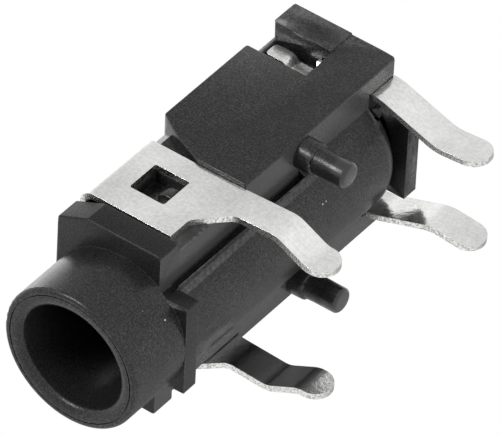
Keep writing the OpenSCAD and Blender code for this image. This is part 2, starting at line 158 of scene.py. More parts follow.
class SurfaceEffects:
    """The node groups that the finishes share: grain, rolled streaks, specks and edge wear."""

    def __init__(self) -> None:
        """Builds each group once."""
        self.grain = self._grain()
        self.streaks = self._streaks()
        self.specks = self._specks()
        self.edges = self._edges()

    @staticmethod
    def _grain() -> bpy.types.NodeTree:
        """Fine pitted grain of a moulded or rolled surface: two sizes of noise and a slow mottle."""
        sheet, inp, out = new_group(
            "pitted_grain",
            {"Vector": ("Vector", None), "Scale": ("Float", 16000.0)},
            {"Height": "Float", "Mottle": "Float", "Fine": "Float"},
        )
        place = {"Vector": inp["Vector"], "Scale": inp["Scale"]}
        slow = {"Vector": inp["Vector"], "Scale": sheet.math("MULTIPLY", inp["Scale"], 0.045)}
        fine = sheet.add("TexNoise", place | {"Detail": 3.0, "Roughness": 0.6}).outputs[0]
        pits = sheet.add("TexVoronoi", place, feature="SMOOTH_F1").outputs[0]
        wide = sheet.add("TexNoise", slow | {"Detail": 4.0, "Roughness": 0.55}).outputs[0]
        both = sheet.math("ADD", fine, sheet.math("MULTIPLY", pits, 0.6))
        mottle, grain = sheet.span(wide, 0.3, 0.7), sheet.span(fine, 0.36, 0.66)
        sheet.feed(out, {"Height": both, "Mottle": mottle, "Fine": grain})
        return sheet.tree

    @staticmethod
    def _streaks() -> bpy.types.NodeTree:
        """Long streaks of rolled sheet: noise stretched along the sheet's own second coordinate."""
        sheet, inp, out = new_group(
            "rolled_streaks",
            {"Vector": ("Vector", None), "Scale": ("Float", 9000.0), "Stretch": ("Float", 0.2)},
            {"Mask": "Float"},
        )
        stretch = sheet.add("CombineXYZ", {"X": 1.0, "Y": inp["Stretch"], "Z": 1.0}).outputs[0]
        along = sheet.add("VectorMath", {0: inp["Vector"], 1: stretch}, operation="MULTIPLY").outputs[0]
        noise = {"Vector": along, "Scale": inp["Scale"], "Detail": 4.0, "Roughness": 0.65}
        sheet.feed(out, {"Mask": sheet.span(sheet.add("TexNoise", noise).outputs[0], 0.35, 0.65)})
        return sheet.tree

    @staticmethod
    def _specks() -> bpy.types.NodeTree:
        """Sparse small specks: the middles of a few cells picked by their random colour."""
        sheet, inp, out = new_group(
            "sparse_specks",
            {
                "Vector": ("Vector", None), "Scale": ("Float", 4200.0),
                "Share": ("Float", 0.03), "Size": ("Float", 0.13),
            },
            {"Mask": "Float"},
        )
        cell = sheet.add("TexVoronoi", {"Vector": inp["Vector"], "Scale": inp["Scale"]})
        pick = sheet.add("SeparateColor", {0: cell.outputs["Color"]})
        chosen = sheet.math("LESS_THAN", pick.outputs[0], inp["Share"])
        size = sheet.math("MULTIPLY", inp["Size"], sheet.span(pick.outputs[1], 0.0, 1.0, 0.35, 1.0))
        near = sheet.math("LESS_THAN", cell.outputs["Distance"], size)
        sheet.feed(out, {"Mask": sheet.math("MULTIPLY", chosen, near)})
        return sheet.tree

    @staticmethod
    def _edges() -> bpy.types.NodeTree:
        """Wear along edges: how far the rounded normal leans from the true one, broken up by noise."""
        sheet, inp, out = new_group(
            "edge_wear",
            {"Vector": ("Vector", None), "Radius": ("Float", 0.00006), "Scale": ("Float", 8000.0)},
            {"Mask": "Float"},
        )
        soft = sheet.add("Bevel", {"Radius": inp["Radius"]}, samples=6)
        true = sheet.add("NewGeometry").outputs["True Normal"]
        both = {0: soft.outputs[0], 1: true}
        lean = sheet.add("VectorMath", both, operation="DOT_PRODUCT").outputs["Value"]
        place = {"Vector": inp["Vector"], "Scale": inp["Scale"], "Detail": 3.0}
        broken = sheet.span(sheet.add("TexNoise", place).outputs[0], 0.38, 0.64, 0.15, 1.0)
        sheet.feed(out, {"Mask": sheet.math("MULTIPLY", sheet.span(lean, 0.995, 0.8), broken)})
        return sheet.tree


def blank_material(name: str) -> tuple[bpy.types.Material, NodeSheet, bpy.types.Node]:
    """Starts a material with a Principled shader on its output.

    Args:
        name: name of the material.
    Returns:
        The material, its node sheet and its Principled node.
    """
    material = bpy.data.materials.new(name)
    material.use_nodes = True
    material.node_tree.nodes.clear()
    sheet = NodeSheet(material.node_tree)
    shader = sheet.add("BsdfPrincipled")
    sheet.add("OutputMaterial", {"Surface": shader.outputs[0]})
    return material, sheet, shader


@dataclass(frozen=True)
class MouldedPlastic:
    """Black moulded plastic: fine grain, smooth pegs, a deck painted paler as painted light, a dull collar,
    worn edges and specks.

    Heights and places along the plug are in metres in the board's frame.
    """

    dark: tuple = (0.009, 0.009, 0.0092, 1.0)
    light: tuple = (0.031, 0.031, 0.0315, 1.0)
    worn: tuple = (0.16, 0.16, 0.16, 1.0)
    # painted light: a paler base colour on the deck, standing in for the light that falls on it
    deck_painted_light: tuple = (0.045, 0.045, 0.046, 1.0)
    speck: tuple = (0.45, 0.45, 0.44, 1.0)
    wear: float = 0.6
    mottle: tuple = (0.75, 1.0)
    pale: tuple = (1.0, 0.4)
    deck_smooth: float = 0.5
    roughness: tuple = (0.26, 0.40)
    smooth: float = 0.15
    specular: float = 0.15
    ior: float = 1.5
    coat: tuple = (0.24, 1.0)
    coat_roughness: float = 0.26
    peaks: tuple = (0.40, 1.0)
    peg_top: tuple = (-0.00005, -0.0003)
    deck_height: float = 0.00106
    deck_band: tuple = (0.00003, 0.00001)
    downward: tuple = (-0.9, -0.97)
    collar_front: float = -0.00717
    collar_rear: tuple = (-0.00654, -0.00621)
    collar_coat: tuple = (0.45, 0.1)
    sideways: tuple = (0.4, 0.7)
    grain_scale: float = 19000.0
    grain_depth: float = 0.000020
    grain_strength: tuple = (0.35, 0.12)

    def material(self, effects: SurfaceEffects) -> bpy.types.Material:
        """Makes the plastic's material from the shared effects.

        Args:
            effects: the shared node groups.
        Returns:
            The new material.
        """
        material, sheet, shader = blank_material("moulded_plastic")
        place = sheet.add("TexCoord").outputs["Object"]
        fine = {"Vector": place, "Scale": self.grain_scale}
        grain = sheet.add("Group", fine, node_tree=effects.grain).outputs
        wear = sheet.add("Group", {"Vector": place}, node_tree=effects.edges).outputs["Mask"]
        specks = sheet.add("Group", {"Vector": place}, node_tree=effects.specks).outputs["Mask"]
        point = sheet.add("SeparateXYZ", {0: place}).outputs
        normal = sheet.add("NewGeometry").outputs["True Normal"]
        facing = sheet.add("SeparateXYZ", {0: normal}).outputs
        pegs = sheet.span(point["Z"], *self.peg_top)
        deck = self._deck(sheet, point["Z"], facing["Z"])
        smooth = sheet.math("MAXIMUM", pegs, sheet.math("MULTIPLY", deck, self.deck_smooth))
        mask = sheet.math("MULTIPLY", grain["Fine"], sheet.span(grain["Mottle"], 0.0, 1.0, *self.mottle))
        pale = sheet.math("MULTIPLY", mask, sheet.span(smooth, 0.0, 1.0, *self.pale))
        # painted light: the deck is tinted paler to stand in for the light that falls on it
        body = sheet.tint(deck, sheet.tint(pale, self.dark, self.light), self.deck_painted_light)
        edged = sheet.tint(sheet.math("MULTIPLY", wear, self.wear), body, self.worn)
        rough = sheet.span(grain["Fine"], 0.0, 1.0, *self.roughness)
        depth = sheet.span(smooth, 0.0, 1.0, *self.grain_strength)
        bump = {"Strength": depth, "Distance": self.grain_depth, "Height": grain["Height"]}
        coat = sheet.span(mask, *self.peaks, *self.coat)
        coat = sheet.math("MULTIPLY", coat, self._collar(sheet, point, facing["X"]))
        sheet.feed(shader, {
            "Base Color": sheet.tint(specks, edged, self.speck),
            "Roughness": sheet.add("Mix", {0: smooth, 2: rough, 3: self.smooth}).outputs[0],
            "Normal": sheet.add("Bump", bump).outputs[0],
            "Coat Weight": sheet.math("MAXIMUM", coat, pegs),
            "Coat Roughness": self.coat_roughness,
            "Specular IOR Level": self.specular,
            "IOR": self.ior,
        })
        return material

    def _deck(self, sheet: NodeSheet, height: object, facing: object) -> bpy.types.NodeSocket:
        """Mask of the level deck on the board side: faces that look down within a thin band of height,
        painted paler as painted light and made smoother.

        Args:
            sheet: the material's node sheet.
            height: height socket.
            facing: upward part of the normal.
        Returns:
            The mask.
        """
        away = sheet.math("ABSOLUTE", sheet.math("SUBTRACT", height, self.deck_height))
        return sheet.math("MULTIPLY", sheet.span(away, *self.deck_band), sheet.span(facing, *self.downward))

    def _collar(self, sheet: NodeSheet, point: object, facing: object) -> bpy.types.NodeSocket:
        """Share of the gloss that is left: 1 off the flange and its rib, less on them, least on their sides.

        Args:
            sheet: the material's node sheet.
            point: sockets of the place.
            facing: sideways part of the normal.
        Returns:
            The share.
        """
        level = self.deck_height
        behind = sheet.span(point["Z"], level - self.deck_band[0], level, *self.collar_rear)
        after = sheet.math("GREATER_THAN", point["Y"], self.collar_front)
        collar = sheet.math("MULTIPLY", after, sheet.math("LESS_THAN", point["Y"], behind))
        sides = sheet.span(sheet.math("ABSOLUTE", facing), *self.sideways, *self.collar_coat)
        return sheet.add("Mix", {0: collar, 2: 1.0, 3: sides}).outputs[0]


@dataclass(frozen=True)
class TinPlate:
    """Satin tin plating on rolled sheet: a cloudy mottle, faint streaks along the sheet and fine grain."""

    bright: tuple = (0.95, 0.95, 0.935, 1.0)
    dull: tuple = (0.60, 0.60, 0.59, 1.0)
    stain: tuple = (0.38, 0.37, 0.35, 1.0)
    roughness: tuple = (0.12, 0.24)
    grain_scale: float = 9000.0
    grain_depth: float = 0.000012
    grain_strength: float = 0.3
    swell: float = 3.0
    cloud: float = 0.7
    fine: float = 0.35
    streak: float = 0.12
    speck_size: float = 0.10
    marks: tuple = (0.6, 0.25)

    def material(self, effects: SurfaceEffects) -> bpy.types.Material:
        """Makes the plating's material from the shared effects.

        Args:
            effects: the shared node groups.
        Returns:
            The new material.
        """
        material, sheet, shader = blank_material("tin_plate")
        place = sheet.add("TexCoord").outputs["Object"]
        flat = sheet.add("Attribute", attribute_name="blank").outputs["Vector"]
        grain = sheet.add("Group", {"Vector": place, "Scale": self.grain_scale}, node_tree=effects.grain)
        streaks = sheet.add("Group", {"Vector": flat}, node_tree=effects.streaks)
        wear = sheet.add("Group", {"Vector": place}, node_tree=effects.edges)
        specks = sheet.add("Group", {"Vector": place, "Size": self.speck_size}, node_tree=effects.specks)
        cloud = sheet.math("MULTIPLY", grain.outputs["Mottle"], self.cloud)
        blend = sheet.math("ADD", cloud, sheet.math("MULTIPLY", grain.outputs["Fine"], self.fine))
        blend = sheet.math("ADD", blend, sheet.math("MULTIPLY", streaks.outputs["Mask"], self.streak), True)
        body = sheet.tint(blend, self.bright, self.dull)
        marked = sheet.tint(sheet.math("MULTIPLY", specks.outputs["Mask"], self.marks[0]), body, self.stain)
        colour = sheet.tint(sheet.math("MULTIPLY", wear.outputs["Mask"], self.marks[1]), marked, self.stain)
        swell = sheet.math("MULTIPLY", grain.outputs["Mottle"], self.swell)
        waves = sheet.math("ADD", grain.outputs["Height"], swell)
        bump = {"Strength": self.grain_strength, "Distance": self.grain_depth, "Height": waves}
        sheet.feed(shader, {
            "Base Color": colour,
            "Roughness": sheet.span(blend, 0.0, 1.0, *self.roughness),
            "Normal": sheet.add("Bump", bump).outputs[0],
            "Metallic": 1.0,
        })
        return material


@dataclass(frozen=True)
class ShearedEdge:
    """Cut rim of the sheet: coarse, torn and patchy, with bare darker metal between smears of tin."""

    tin: tuple = (0.88, 0.88, 0.865, 1.0)
    bare: tuple = (0.45, 0.44, 0.42, 1.0)
    torn: tuple = (0.1, 0.75)
    roughness: tuple = (0.22, 0.5)
    grain_scale: float = 15000.0
    grain_depth: float = 0.00003
    grain_strength: float = 0.35

    def material(self, effects: SurfaceEffects) -> bpy.types.Material:
        """Makes the rim's material from the shared effects.

        Args:
            effects: the shared node groups.
        Returns:
            The new material.
        """
        material, sheet, shader = blank_material("sheared_edge")
        place = sheet.add("TexCoord").outputs["Object"]
        grain = sheet.add("Group", {"Vector": place, "Scale": self.grain_scale}, node_tree=effects.grain)
        torn = sheet.span(grain.outputs["Fine"], *self.torn)
        colour = sheet.tint(torn, self.bare, self.tin)
        bump = {
            "Strength": self.grain_strength, "Distance": self.grain_depth, "Height": grain.outputs["Height"],
        }
        sheet.feed(shader, {
            "Base Color": colour,
            "Roughness": sheet.span(torn, 1.0, 0.0, *self.roughness),
            "Normal": sheet.add("Bump", bump).outputs[0],
            "Metallic": 1.0,
        })
        return material


# Shapes worked out with numpy


def rounded_path(corners: list, radii: list[float], steps: int = 10, pitch: float = 0.09) -> np.ndarray:
    """Path through corners in a plane, each inner corner rounded off by an arc, straight runs cut up evenly.

    At a corner where the way turns by angle a, the arc of radius r starts r * tan(a / 2) before it.

    Args:
        corners: corner points (u, v) in mm.
        radii: radius of the arc at each inner corner in mm.
        steps: pieces of an arc.
        pitch: longest piece of a straight run in mm.
    Returns:
        Array of points, one row each.
    """
    p = np.asarray(corners, float)
    runs: list[np.ndarray] = []
    start = p[0]
    for i in range(1, len(p)):
        d = (p[i] - p[i - 1]) / np.linalg.norm(p[i] - p[i - 1])
        arc = None
        stop = p[i]
        if i < len(p) - 1:
            radius = radii[i - 1]
            e = (p[i + 1] - p[i]) / np.linalg.norm(p[i + 1] - p[i])
            a = math.atan2(d[0] * e[1] - d[1] * e[0], float(d @ e))
            stop = p[i] - d * radius * math.tan(abs(a) / 2)
            side = np.array([-d[1], d[0]]) * math.copysign(1.0, a)
            centre = stop + side * radius
            k = np.linspace(0.0, a, steps + 1)[:, None]
            q = stop - centre
            cos, sin = np.cos(k), np.sin(k)
            arc = centre + np.hstack([q[0] * cos - q[1] * sin, q[0] * sin + q[1] * cos])
        count = max(2, int(np.ceil(np.linalg.norm(stop - start) / pitch)) + 1)
        runs.append(start + (stop - start) * np.linspace(0.0, 1.0, count)[:, None])
        if arc is not None:
            runs.append(arc)
            start = arc[-1]
    path = np.vstack(runs)
    keep = np.r_[True, np.linalg.norm(np.diff(path, axis=0), axis=1) > SAME]
    return path[keep]


def lengths_along(path: np.ndarray) -> np.ndarray:
    """Length from the start of a path to each of its points."""
    return np.r_[0.0, np.cumsum(np.linalg.norm(np.diff(path, axis=0), axis=1))]


def lines_between(stops: list[float], pitch: float) -> np.ndarray:
    """Sorted grid lines through all stops, no further apart than pitch."""
    counts = [max(2, int(np.ceil(abs(b - a) / pitch)) + 1) for a, b in zip(stops[:-1], stops[1:])]
    parts = [np.linspace(a, b, n)[:-1] for a, b, n in zip(stops[:-1], stops[1:], counts)]
    return np.r_[np.concatenate(parts), stops[-1]]


@dataclass
class Patch:
    """A grid of points with a flat coordinate for the rolled grain, and the cells of it that are metal."""

    points: np.ndarray
    flat: np.ndarray
    cells: np.ndarray
    turned: bool = False

    @staticmethod
    def of(points: np.ndarray, flat: np.ndarray, cells: np.ndarray | None = None) -> "Patch":
        """Makes a patch whose cells are all metal unless a mask is given."""
        whole = np.ones((points.shape[0] - 1, points.shape[1] - 1), bool)
        return Patch(points, flat, whole if cells is None else cells)

    def quads(self) -> np.ndarray:
        """Corner numbers of the cells that are metal, counted along the rows."""
        rows, cols = self.points.shape[:2]
        k = np.arange(rows * cols).reshape(rows, cols)
        corners = np.stack([k[:-1, :-1], k[:-1, 1:], k[1:, 1:], k[1:, :-1]], axis=-1)[self.cells]
        return corners[:, ::-1] if self.turned else corners

    def mirrored(self) -> "Patch":
        """The patch on the other side of the plug, with its faces still outwards."""
        return Patch(self.points * np.array([-1.0, 1.0, 1.0]), self.flat, self.cells, not self.turned)


def round_end(y: np.ndarray, lo: float, hi: float, corner: float) -> np.ndarray:
    """How far the end of a strip is cut back at y, for rounded corners: corner - sqrt(corner^2 - over^2).

    Args:
        y: places across the strip in mm.
        lo: one edge of the strip.
        hi: its other edge.
        corner: radius of both corners.
    Returns:
        The cut at each place in mm.
    """
    over = np.clip(np.abs(y - (lo + hi) / 2) - ((hi - lo) / 2 - corner), 0.0, corner)
    return corner - np.sqrt(np.clip(corner**2 - over**2, 0.0, None))


def across(lo: float, hi: float, count: int, *also: float) -> np.ndarray:
    """Places across a strip, closer together towards its two edges, and the given ones among them."""
    even = (lo + hi) / 2 + (hi - lo) / 2 * np.sin(np.linspace(-math.pi / 2, math.pi / 2, count))
    free = np.ones(count, bool)
    for place in also:
        free &= np.abs(even - place) > LINE_GAP
    free[[0, -1]] = True
    return np.sort(np.r_[even[free], np.array(also)])


@dataclass
class BentBlank:
    """A flat blank bent along one path: a place s along the path and y along the plug give a point.

    The path lies in x and z. A point is (x(s), y, z(s)), so every bend line runs along the plug.
    """

    path: np.ndarray
    row_pitch: float = 0.07
    end_turn: float = 1.7
    end_share: float = 0.8
    end_rows: int = 9

    def __post_init__(self) -> None:
        """Works out the length to each point of the path."""
        self.s = lengths_along(self.path)

    @property
    def length(self) -> float:
        """Length of the whole path."""
        return float(self.s[-1])

    def at_height(self, z: float) -> float:
        """Length along the path where it passes height z on its way down."""
        return float(np.interp(-z, -self.path[:, 1], self.s))

    def patch(self, s: np.ndarray, y: np.ndarray, cells: np.ndarray | None = None) -> Patch:
        """Bends a flat grid.

        Args:
            s: lengths along the path, a row for each line across the blank.
            y: places along the plug from the nose face, in the same shape or one row.
            cells: the cells that are metal.
        Returns:
            The bent patch.
        """
        s, y = np.broadcast_arrays(s, y)
        x, z = (np.interp(s, self.s, self.path[:, k]) for k in (0, 1))
        return Patch.of(np.stack([x, y + NOSE_Y, z], -1), np.stack([y, s], -1), cells)

    def tongue(self, y: np.ndarray, start: float, end: float, corner: float) -> list[Patch]:
        """A strip of the blank that runs along the path from start to a rounded end.

        Rows are straight until end_turn corner radii before the end, then bend over to the end's outline.

        Args:
            y: places across the strip.
            start: length along the path where the strip starts.
            end: length where it ends.
            corner: radius of the end's corners.
        Returns:
            The patches of the strip.
        """
        way = math.copysign(1.0, end - start)
        turn = end - way * min(self.end_turn * corner, abs(end - start) * self.end_share)
        rows = way * lines_between([way * start, way * turn], self.row_pitch)
        rim = end - way * round_end(y, y[0], y[-1], corner)
        u = np.linspace(0.0, 1.0, self.end_rows)[:, None]
        bent = turn + u * (rim[None, :] - turn)
        parts = [self.patch(rows[:, None], y[None, :]), self.patch(bent, y[None, :])]
        for part in parts:
            part.turned = way < 0
        return parts


def ribbon(path: np.ndarray, lo: float, hi: float, count: int, place: Callable) -> Patch:
    """A strip of even width along a path: the path's two coordinates and a third across it.

    Args:
        path: points (u, v) in mm.
        lo: lower edge across the path.
        hi: upper edge.
        count: lines across.
        place: turns arrays u, v, w into points.
    Returns:
        The patch.
    """
    w = np.linspace(lo, hi, count)[None, :]
    u, v, w = np.broadcast_arrays(path[:, :1], path[:, 1:], w)
    s = np.broadcast_to(lengths_along(path)[:, None], w.shape)
    return Patch.of(place(u, v, w), np.stack([w, s], -1))


def sheet_object(name: str, patches: list[Patch], thick: float, edge: float) -> bpy.types.Object:
    """Joins grid patches into one sheet of metal with a wall and eased edges.

    The patches are the sheet's middle surface. Points that coincide are merged, a Solidify modifier gives the
    wall, half to each side, and a Bevel modifier eases the cut edges.

    Args:
        name: name of the object.
        patches: grids in mm.
        thick: thickness of the sheet in mm.
        edge: width of the eased edges in mm.
    Returns:
        The new object, linked to the scene.
    """
    points = np.concatenate([p.points.reshape(-1, 3) for p in patches]) * MM
    flat = np.concatenate([np.pad(p.flat.reshape(-1, 2), ((0, 0), (0, 1))) for p in patches]) * MM
    starts = np.cumsum([0] + [p.points.shape[0] * p.points.shape[1] for p in patches])
    quads = np.concatenate([p.quads() + s for p, s in zip(patches, starts)])
    key = np.round(points / (MERGE * MM)).astype(np.int64)
    _, first, back = np.unique(key, axis=0, return_index=True, return_inverse=True)
    back = back.reshape(-1)
    quads = back[quads]
    used, quads = np.unique(quads, return_inverse=True)
    quads = quads.reshape(-1, 4)
    points, flat = points[first][used], flat[first][used]
    mesh = bpy.data.meshes.new(name)
    mesh.from_pydata(points.tolist(), [], quads.tolist())
    blank = mesh.attributes.new("blank", "FLOAT_VECTOR", "POINT")
    blank.data.foreach_set("vector", flat.astype(np.float32).ravel())
    mesh.polygons.foreach_set("use_smooth", np.ones(len(mesh.polygons), bool))
    mesh.update()
    obj = bpy.data.objects.new(name, mesh)
    bpy.context.scene.collection.objects.link(obj)
    wall = obj.modifiers.new("wall", "SOLIDIFY")
    wall.thickness, wall.offset, wall.use_even_offset = thick * MM, 0.0, True
    wall.material_offset_rim = 1
    bevel = obj.modifiers.new("eased_edges", "BEVEL")
    bevel.width, bevel.segments = edge * MM, 2
    bevel.limit_method, bevel.angle_limit = "ANGLE", SHARP
    bevel.use_clamp_overlap, bevel.harden_normals = True, True
    return obj


def dress(obj: bpy.types.Object, materials: list, slot: Slot, body: Body, *nodes: str) -> None:
    """Gives a piece its materials and its body, and says which CAD nodes it stands for."""
    obj.data.materials.clear()
    for material in materials:
        obj.data.materials.append(material)
    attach(obj, body.value)
    if nodes:
        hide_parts(*nodes)
    log.info("%s rides on %s and stands for %s", obj.name, body.value, ", ".join(nodes) or "no node")


# Sub-assemblies


@dataclass
class Moulding:
    """The one plastic moulding: nose, flange, body, covers, barrel, pegs and latch blocks.

    The flange's foot, the barrel's lip and the rim of the nose keep the edges that the CAD solid has.
    """

    edge: float = 0.06
    segments: int = 3
    straight: float = math.radians(150)  # a neighbour that goes on straighter takes no room
    share: float = 0.4                   # part of a face's width that a rounding may take
    rim: float = 0.3
    foot_y: float = 2.45
    foot_z: float = 1.06
    lip_z: float = 0.8
    shoulder: float = 0.17
    shoulder_y: tuple = (11.87, 13.2, 14.3)
    shoulder_x: float = 2.3
    top: float = 4.95
    plain: float = 12.0                  # beside a face this many times larger, an edge stays crisp
    level: float = math.radians(0.4)     # faces that turn by less are one face

    def build(self) -> bpy.types.Object:
        """Copies the CAD moulding, merges its loose triangles and rounds its shoulders and its other edges.

        Returns:
            The new object.
        """
        work = bmesh.new()
        work.from_mesh(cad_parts["housing"].data)
        bmesh.ops.remove_doubles(work, verts=work.verts, dist=MERGE * MM)
        bmesh.ops.dissolve_limit(work, angle_limit=self.level, verts=work.verts, edges=work.edges)
        bmesh.ops.recalc_face_normals(work, faces=work.faces)
        rounding = work.edges.layers.float.new("bevel_weight_edge")
        for edge in work.edges:
            areas = sorted(face.calc_area() for face in edge.link_faces)
            crisp = areas[-1] > self.plain * areas[0] or edge.calc_face_angle() > SHARP
            edge[rounding] = self._rounding(edge) / self.shoulder
            edge.smooth = edge[rounding] > 0.0 or not crisp
        mesh = bpy.data.meshes.new("moulding")
        work.to_mesh(mesh)
        work.free()
        mesh.polygons.foreach_set("use_smooth", np.ones(len(mesh.polygons), bool))
        obj = bpy.data.objects.new("moulding", mesh)
        bpy.context.scene.collection.objects.link(obj)
        bevel = obj.modifiers.new("eased_edges", "BEVEL")
        bevel.width, bevel.segments, bevel.limit_method = self.shoulder * MM, self.segments, "WEIGHT"
        bevel.use_clamp_overlap, bevel.harden_normals = False, True
        return obj

    def _rounding(self, edge: bmesh.types.BMEdge) -> float:
        """Width of the rounding of one edge: none on a flat or inner edge, less where its faces are narrow.

        Args:
            edge: an edge of the merged moulding.
        Returns:
            The width in mm.
        """
        ends = [vert.co / MM - Vector((0.0, NOSE_Y, 0.0)) for vert in edge.verts]
        inner = not edge.is_convex or edge.calc_face_angle() < SHARP
        foot = self._all_at(ends, 1, self.foot_y) and self._all_at(ends, 2, self.foot_z)
        if inner or foot or self._all_at(ends, 2, self.lip_z) or all(end.y < self.rim for end in ends):
            return 0.0
        high = self._all_at(ends, 2, self.top) and all(abs(end.x) > self.shoulder_x for end in ends)
        if high and any(self._all_at(ends, 1, y) for y in self.shoulder_y):
            return self.shoulder
        room = self.edge / self.share
        for vert in edge.verts:
            along = edge.other_vert(vert).co - vert.co
            for other in vert.link_edges:
                way = other.other_vert(vert).co - vert.co
                turn = along.angle(way)
                beside = other is not edge and set(other.link_faces) & set(edge.link_faces)
                if beside and turn < self.straight:
                    room = min(room, way.length / MM * math.sin(turn))
        return self.share * room

    @staticmethod
    def _all_at(ends: list, axis: int, value: float) -> bool:
        """Whether both ends of an edge lie at one value of a coordinate."""
        return all(abs(end[axis] - value) < TOUCH for end in ends)

    def dress(self, obj: bpy.types.Object, plastic: bpy.types.Material) -> None:
        """Dresses the moulding in plastic on the socket's body."""
        dress(obj, [plastic], Slot.PLASTIC, Body.SOCKET, "housing")


@dataclass
class SleeveClip:
    """The folded sheet that saddles the body, with two latch holes, two kinked legs and its sleeve tongue."""

    sheet: float = 0.22
    edge: float = 0.04
    front: float = 3.55
    rear: float = 6.65
    plate_x: float = 2.98
    roof_z: float = 4.84
    bend: float = 0.41
    plate_z: float = 1.53
    leg_w: float = 1.18
    leg_root: float = 0.55
    leg_bend: float = 0.8
    reach: float = 2.9
    bow: float = 0.11
    bow_depth: float = 0.96
    kink: float = 0.58
    kink_depth: float = 2.09
    hole: tuple = (5.19, 3.19, 1.3)
    hole_ease: float = 0.025
    window: tuple = (0.64, 3.76, 6.23)
    fillet: float = 0.3
    tongue_sheet: float = 0.18
    tongue_w: float = 1.2
    tongue_edge: float = 0.03
    tongue_bend: float = 0.2
    tongue: tuple = ((6.23, 4.84), (4.43, 3.89), (4.01, 4.05))
    pitch: float = 0.08
    row_pitch: float = 0.06
    skirt_rows: int = 22
    leg_margin: float = 0.2
    edge_run: float = 0.5

    def blank(self) -> BentBlank:
        """The bend path of one half, from the roof's middle down to a leg's tip."""
        out = self.plate_x + self.bow
        corners = [
            (0.0, self.roof_z), (self.plate_x, self.roof_z), (self.plate_x, self.plate_z),
            (out, -self.bow_depth), (out - self.kink, -self.kink_depth), (out - self.kink, -self.reach),
        ]
        return BentBlank(rounded_path(corners, [self.bend] + [self.leg_bend] * 3))

    def build(self) -> bpy.types.Object:
        """Lays out the flat pattern of one half, bends it and mirrors it.

        The plate is a grid of s and y with the cells of the latch hole and of the tongue's window left out.
        Below the hole its rows run down to the lower edge, a level line and a slope with rounded corners, and
        the leg goes on from there to its round end.

        Returns:
            The new object.
        """
        blank = self.blank()
        hole_y, hole_z, side = self.hole
        y0, y1 = hole_y - side / 2, hole_y + side / 2
        s1, s0 = blank.at_height(hole_z + side / 2), blank.at_height(hole_z - side / 2)
        half_w, win0, win1 = self.window
        leg_y = self.rear - self.leg_w
        leg = across(leg_y, self.rear, LEG_LINES, y1, win1)
        stops = [self.front, win0, y0, leg_y - self.leg_margin, leg_y]
        y = np.r_[lines_between(stops, self.pitch)[:-1], leg]
        rows = lines_between([0.0, half_w, s1, s0], self.row_pitch)
        mid_s, mid_y = (rows[:-1] + rows[1:])[:, None] / 2, (y[:-1] + y[1:])[None, :] / 2
        grid = np.broadcast_arrays(rows[:, None], y[None, :])
        grid_s, grid_y = self._eased_hole(*grid, (s1, s0), (y0, y1))
        in_hole = (mid_s > s1) & (mid_s < s0) & (mid_y > y0) & (mid_y < y1)
        in_window = (mid_s < half_w) & (mid_y > win0) & (mid_y < win1)
        plate = blank.patch(grid_s, grid_y, ~(in_hole | in_window))
        level, root = blank.at_height(self.plate_z), blank.at_height(self.leg_root)
        slope = leg_y - (root - level)
        corners = [(self.front, level), (slope, level), (leg_y, root), (leg_y, root + self.edge_run)]
        edge = rounded_path(corners, [self.fillet] * 2)
        keep = edge[:, 0] < leg_y - SAME
        low = float(edge[~keep, 1].min())
        lower = np.interp(y, np.r_[edge[keep, 0], leg_y], np.r_[edge[keep, 1], low])
        u = np.linspace(0.0, 1.0, self.skirt_rows)[:, None]
        skirt_s, skirt_y = np.broadcast_arrays(s0 + u * (lower[None, :] - s0), y[None, :])
        skirt = blank.patch(*self._eased_hole(skirt_s, skirt_y, (s1, s0), (y0, y1)))
        half = [plate, skirt] + blank.tongue(leg, low, blank.length, self.leg_w / 2)
        return sheet_object("sleeve_sheet", half + [p.mirrored() for p in half], self.sheet, self.edge)

    def _eased_hole(self, s: np.ndarray, y: np.ndarray, s_lines: tuple, y_lines: tuple) -> tuple:
        """Moves the grid's points at the hole's four corners towards its middle, which rounds the corners.

        Args:
            s: lengths along the path.
            y: places along the plug.
            s_lines: the hole's upper and lower line.
            y_lines: its front and rear line.
        Returns:
            The two moved grids.
        """
        s, y = s.copy(), y.copy()
        at_s = [np.isclose(s, line) for line in s_lines]
        at_y = [np.isclose(y, line) for line in y_lines]
        for row, way_s in zip(at_s, (1.0, -1.0)):
            for column, way_y in zip(at_y, (1.0, -1.0)):
                corner = row & column
                s[corner] += way_s * self.hole_ease
                y[corner] += way_y * self.hole_ease
        return s, y

    def build_tongue(self) -> bpy.types.Object:
        """Bends the tongue as a ribbon in y and z that is even across x.

        Returns:
            The new object.
        """
        path = rounded_path(list(self.tongue), [self.tongue_bend])
        half = self.tongue_w / 2
        patch = ribbon(path, -half, half, ARM_LINES, lambda u, v, w: np.stack([w, u + NOSE_Y, v], -1))
        return sheet_object("sleeve_tongue", [patch], self.tongue_sheet, self.tongue_edge)

    def dress(self, metal: list) -> None:
        """Builds both pieces and dresses them in tin, the tongue on its own body."""
        dress(self.build(), metal, Slot.PLATED, Body.SOCKET, "sleeve_clip")
        dress(self.build_tongue(), metal, Slot.PLATED, Body.SLEEVE, "sleeve_spring")


